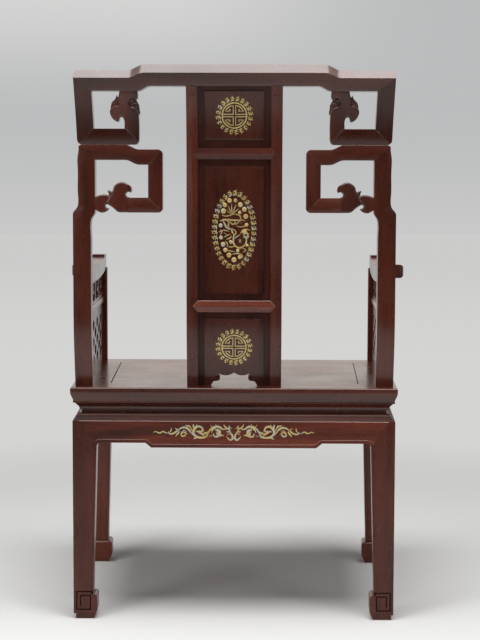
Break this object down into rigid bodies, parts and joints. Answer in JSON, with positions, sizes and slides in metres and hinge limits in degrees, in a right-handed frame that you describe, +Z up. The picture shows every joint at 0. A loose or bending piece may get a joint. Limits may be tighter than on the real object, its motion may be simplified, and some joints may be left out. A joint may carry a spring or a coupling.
{
  "type": "official hat chair",
  "caption": "Tall-backed hardwood armchair with yoke-like crest rail, fretted back with inlaid splat, openwork arm panels, moulded seat frame and legs with inturned square hoofs.",
  "frame": {"origin": "middle of the footprint, on the floor", "axes": "+Z up, the front of the seat towards -Y, the sitter's right arm towards -X"},
  "size_m": [0.7474, 0.5348, 1.081],
  "materials": {
    "rosewood": "deep reddish-brown hardwood, polished to a high gloss",
    "pin_wood": "plain hardwood pins",
    "brass_inlay": "gold-coloured metal and pearly shell, polished flush"
  },
  "bodies": {
    "root": {"apron_front": "rosewood", "apron_left": "rosewood", "apron_rear": "rosewood", "apron_right": "rosewood", "arm_hooks_left": "rosewood", "arm_hooks_right": "rosewood", "arm_lattice_left": "rosewood", "arm_lattice_right": "rosewood", "arm_middle_rail_left": "rosewood", "arm_middle_rail_right": "rosewood", "arm_post_left": "rosewood", "arm_post_right": "rosewood", "arm_rail_left": "rosewood", "arm_rail_right": "rosewood", "crest_rail": "rosewood", "fret_dowels": "pin_wood", "inlay_apron_front": "brass_inlay", "inlay_apron_rear": "brass_inlay", "inlay_oval_front": "brass_inlay", "inlay_oval_rear": "brass_inlay", "inlay_roundel_low_front": "brass_inlay", "inlay_roundel_low_rear": "brass_inlay", "inlay_roundel_top_front": "brass_inlay", "inlay_roundel_top_rear": "brass_inlay", "leg_front_left": "rosewood", "leg_front_right": "rosewood", "leg_pegs": "pin_wood", "leg_rear_left": "rosewood", "leg_rear_right": "rosewood", "lower_fret_foot_left": "rosewood", "lower_fret_foot_right": "rosewood", "lower_fret_side_left": "rosewood", "lower_fret_side_right": "rosewood", "lower_fret_top_left": "rosewood", "lower_fret_top_right": "rosewood", "post_left": "rosewood", "post_right": "rosewood", "seat_battens": "rosewood", "seat_panel": "rosewood", "seat_rail_front": "rosewood", "seat_rail_left": "rosewood", "seat_rail_rear": "rosewood", "seat_rail_right": "rosewood", "splat_panel_bottom": "rosewood", "splat_panel_middle": "rosewood", "splat_panel_top": "rosewood", "splat_rail_lower": "rosewood", "splat_rail_upper": "rosewood", "splat_stile_left": "rosewood", "splat_stile_right": "rosewood", "upper_fret_base_left": "rosewood", "upper_fret_base_right": "rosewood", "upper_fret_cloud_left": "rosewood", "upper_fret_cloud_right": "rosewood", "upper_fret_outer_left": "rosewood", "upper_fret_outer_right": "rosewood", "waist_front": "rosewood", "waist_left": "rosewood", "waist_rear": "rosewood", "waist_right": "rosewood"}
  },
  "joints": []
}
